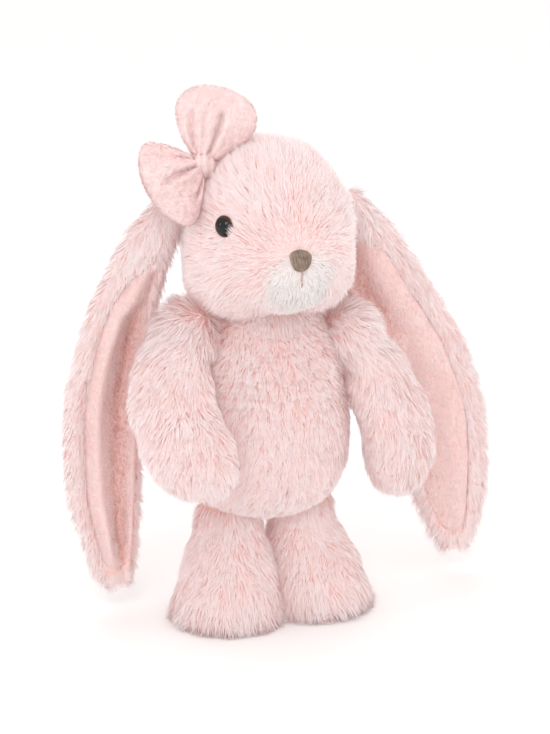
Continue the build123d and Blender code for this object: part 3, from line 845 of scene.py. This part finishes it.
for k, (side, rows) in enumerate(EARS.items()):
    sign = 1 if side == "left" else -1
    body = f"{side}_ear"
    table = smooth_table(rows, 120)
    across = np.cos(np.linspace(math.pi, 0, 49))
    inner = across[::-1][1:-1]
    rings = []
    for z, x, y, half in table:
        half = max(half, 1.0)
        front = np.stack([x - sign * across * half, y - ear_front(side, across, z) * ear_edge(across),
                          np.full(49, z)], 1)
        back = np.stack([x - sign * inner * half, y + 3.0 * np.sqrt(np.clip(1 - inner**2, 0, 1)),
                         np.full(47, z)], 1)
        ring = np.vstack([front, back])
        rings.append(ring if sign < 0 else ring[::-1])
    ear = Skin(*ring_grid(np.array(rings)))
    skin_piece(f"{side}_ear_plush", body, ear, BACKING, [f"{side}_ear_back"])

    heights = smooth_table(rows[1:-1], 200)
    heights = heights[(heights[:, 0] > 21) & (heights[:, 0] < LININGS[side][-1, 0])]
    t = (1 - np.cos(np.linspace(0, math.pi, 61))) / 2
    rings = []
    for z, x, y, half in heights:
        low, high = seams(side, z)
        closed = step(21, 27, z)
        middle = (low + high) / 2
        u = middle + (low + (high - low) * t - middle) * (0.35 + 0.65 * closed)
        puff = 1.3 * np.clip(np.sin(math.pi * t), 0, 1) ** 0.4 * step(21, 25, z) + 0.1
        surface = ear_front(side, u, z) * ear_edge(u)
        front = np.stack([x - sign * u * half, y - surface - puff, np.full(61, z)], 1)
        back = np.stack([x - sign * u[::-1] * half, y - surface[::-1] + 0.6, np.full(61, z)], 1)
        ring = np.vstack([front, back])
        rings.append(ring if sign < 0 else ring[::-1])
    lining = Skin(*ring_grid(np.array(rings)))
    skin_piece(f"{side}_ear_lining_velour", body, lining, LINING, [f"{side}_ear_lining"])

    # pile on the back and the rim, nothing under the lining
    rng = np.random.default_rng(67 + k)
    points, normals = ear.sample(340, rng)
    centre_x = np.interp(points[:, 2], table[:, 0], table[:, 1])
    half = np.maximum(np.interp(points[:, 2], table[:, 0], table[:, 3]), 1)
    u = -sign * (points[:, 0] - centre_x) / half
    low, high = seams(side, points[:, 2])
    covered = (normals[:, 1] < 0.1) & (u > low + 0.01) & (u < high - 0.03)
    covered &= (points[:, 2] > 23) & (points[:, 2] < LININGS[side][-1, 0] - 1)
    points, normals, u = points[~covered], normals[~covered], u[~covered]
    comb = DOWN + 0.2 * wave_vectors(points, 22, 171 + k) + 0.12 * wave_vectors(points, 8, 181)
    comb[:, 0] -= sign * 0.5 * u * np.abs(u)
    edge = step(0.6, 0.95, np.abs(u))
    length = (8.4 + (2.2 + 1.2 * k) * edge) * (1 + 0.12 * waves(points, 12, 191 + k))
    length *= np.where(normals[:, 1] < 0.1, np.where(u > 0.5, 0.55, 0.85), 1.0)
    grow(f"{side}_ear_pile", body, points, normals, comb, length, rng, 63 + k, stand=54, lay=9 + 14 * edge,
         curl=0.25, cell=3.0, pull=0.45, bright=0.5 + 0.4 * step(160, 180, points[:, 2]))

    # short nap on the lining, darker down in the folds as painted shade
    points, normals = lining.sample(420, rng, lambda p, n: np.where(n[:, 1] < -0.05, 1.0, 0.0))
    comb = DOWN + 0.5 * wave_vectors(points, 18, 201 + k) + 0.3 * wave_vectors(points, 6, 211)
    half = np.maximum(np.interp(points[:, 2], table[:, 0], table[:, 3]), 1)
    u = -sign * (points[:, 0] - np.interp(points[:, 2], table[:, 0], table[:, 1])) / half
    if side == "right":
        valley = bell(u, 0.36, 0.24) * step(158, 140, points[:, 2])
    else:
        valley = np.maximum(bell(u, 0.55, 0.28) * step(112, 140, points[:, 2]), 0.45 * bell(u, 0.75, 0.2))
    # painted shade: most strands down in the fold's valley take the darker nap shade
    deep = rng.random(len(points)) < 0.95 * valley
    grow(f"{side}_ear_nap", body, points, normals, comb, 1.7, rng, 73 + k, stand=62, lay=30, curl=0.2, cell=1.4,
         width=0.2, deep=deep, slots=LINING_SLOTS)

# ---------------------------------------------------------------- bow

# for each loop: its direction, the way across, its rows, its creases and where its seam runs across it
# a row is distance from the knot, half width, half thickness; a crease is place across, width, depth, start, end
KNOT = np.array([-30.5, 0.5, 214.5])
LOOPS = {
    "upper": (
        (0.29, 0, 0.957), (0.887, -0.375, -0.269),
        [(3, 5, 3), (5, 8, 4.5), (12, 14, 6), (20, 17.8, 6.5), (27, 17, 6), (32, 12, 4.4), (34, 6, 2.6),
         (34.6, 1, 1)],
        [(-0.62, 0.10, 0.42, 6, 25), (0.14, 0.08, 0.5, 3, 28)], -0.27,
    ),
    "side": (
        (-0.90, -0.25, -0.36), (0.42, -0.29, -0.86),
        [(3, 5, 3), (5, 8, 4.5), (11, 15, 5.5), (17.5, 20, 5.8), (23, 19, 5.2), (27.5, 13, 4), (29.5, 7, 2.4),
         (30, 1, 1)],
        [(-0.62, 0.10, 0.35, 4, 15), (-0.10, 0.07, 0.5, 3, 27), (0.68, 0.09, 0.4, 6, 16)], 0.3,
    ),
}

for k, (name, (direction, across, rows, creases, seam)) in enumerate(LOOPS.items()):
    direction = unit(np.array(direction))
    across = np.array(across) - np.dot(across, direction) * direction
    across = unit(across)
    thick = np.cross(direction, across)
    table = smooth_table(rows, 46)
    theta = np.linspace(0, 2 * math.pi, 96, endpoint=False)
    rings = []
    for t, wide, deep in table:
        wide, deep = max(wide, 0.6), max(deep, 0.6)
        offset = wide * np.cos(theta)
        puff = 1 - 0.10 * bell(np.cos(theta), seam, 0.035) * step(2, 10, t)
        for place, width, depth, first, last in creases:
            fade = step(first - 3, first + 1, t) * step(last + 1, last - 7, t)
            puff -= depth * fade * bell(np.cos(theta), place, width)
            puff += 0.25 * depth * fade * bell(np.cos(theta), place + 2.3 * width, 1.3 * width)
        height = deep * np.sin(theta) * puff
        ring = KNOT + t * direction + offset[:, None] * across + height[:, None] * thick
        rings.append(ring)
    loop = Skin(*ring_grid(np.array(rings)))
    skin_piece(f"bow_{name}_loop_velour", "head", loop, BOW_VELOUR, [f"bow_{name}_loop"])
    rng = np.random.default_rng(87 + k)
    points, normals = loop.sample(420, rng)
    comb = direction + 0.4 * wave_vectors(points, 14, 221 + k) + 0.2 * wave_vectors(points, 6, 231)
    grow(f"bow_{name}_nap", "head", points, normals, comb, 2.1, rng, 83 + k, stand=60, lay=30, curl=0.2,
         cell=1.6, width=0.2, slots=NAP_SLOTS)

KNOT_RADIUS = 6.4
knot_rows = []
for a in np.linspace(-80, 80, 9):
    r = KNOT_RADIUS * math.cos(math.radians(a))
    knot_rows.append((KNOT[2] + KNOT_RADIUS * math.sin(math.radians(a)), KNOT[0], KNOT[1], r, r, 0))
grid = loft(knot_rows, 30, 64)
middle = grid - KNOT
angle = np.arctan2(middle[..., 1], middle[..., 0])
grid = KNOT + middle * (1 - 0.05 * np.cos(9 * angle))[..., None]
knot = Skin(*ring_grid(grid))
skin_piece("bow_knot_velour", "head", knot, BOW_VELOUR, ["bow_knot"])
rng = np.random.default_rng(97)
points, normals = knot.sample(420, rng)
comb = DOWN + 0.4 * wave_vectors(points, 10, 241)
grow("bow_knot_nap", "head", points, normals, comb, 2.0, rng, 93, stand=60, lay=30, cell=1.6, width=0.2,
     slots=NAP_SLOTS)

# ---------------------------------------------------------------- floor, light and camera

scene = bpy.context.scene
scene.view_settings.view_transform = "Standard"

FLOOR = 6000
floor = make_object("floor", [(-FLOOR, -FLOOR, 0), (FLOOR, -FLOOR, 0), (FLOOR, FLOOR, 0), (-FLOOR, FLOOR, 0)],
                    [(0, 1, 2, 3)], [plain("floor_white", (0.975, 0.97, 0.965), 0.9)], False)
floor.data.transform(Matrix.Translation((0, 0, -0.0003)))  # just under the soles

world = bpy.data.worlds.new("studio")
scene.world = world
world.use_nodes = True
background = world.node_tree.nodes["Background"]
background.inputs["Color"].default_value = (1.0, 0.995, 0.99, 1)
background.inputs["Strength"].default_value = 1.04


def soft_box(name, where, aim, size, watts, colour=(1, 1, 1)):
    light = bpy.data.lights.new(name, "AREA")
    light.shape = "RECTANGLE"
    light.size, light.size_y = size
    light.energy = watts
    light.color = colour
    obj = bpy.data.objects.new(name, light)
    obj.location = where
    obj.rotation_euler = (Vector(aim) - Vector(where)).to_track_quat("-Z", "Y").to_euler()
    scene.collection.objects.link(obj)


soft_box("key", (-0.55, -0.9, 0.95), (0, 0, 0.12), (0.5, 0.5), 3.4, (1, 0.99, 0.98))
soft_box("fill", (0.9, -0.6, 0.45), (0, 0, 0.12), (0.7, 0.7), 1.0)
soft_box("side", (-1.05, 0.06, 0.5), (0, 0, 0.15), (0.16, 0.16), 0.6)
soft_box("rim", (0.2, 0.9, 0.8), (0, 0, 0.15), (0.9, 0.6), 1.0)

camera = bpy.data.cameras.new("camera")
camera.sensor_fit = "VERTICAL"
camera.sensor_height = 36
camera.lens = 89.7
camera.clip_start = 0.01
camera_object = bpy.data.objects.new("camera", camera)
target = np.array([3.4, -1.3, 118.2]) / 1000 + MIDDLE
azimuth, elevation = math.radians(-22), math.radians(15)
CAMERA_DISTANCE = 0.85
level = math.cos(elevation)
away = np.array([math.sin(azimuth) * level, -math.cos(azimuth) * level, math.sin(elevation)])
camera_object.location = target + CAMERA_DISTANCE * away
camera_object.rotation_euler = Vector(-away).to_track_quat("-Z", "Y").to_euler()
scene.collection.objects.link(camera_object)
scene.camera = camera_object
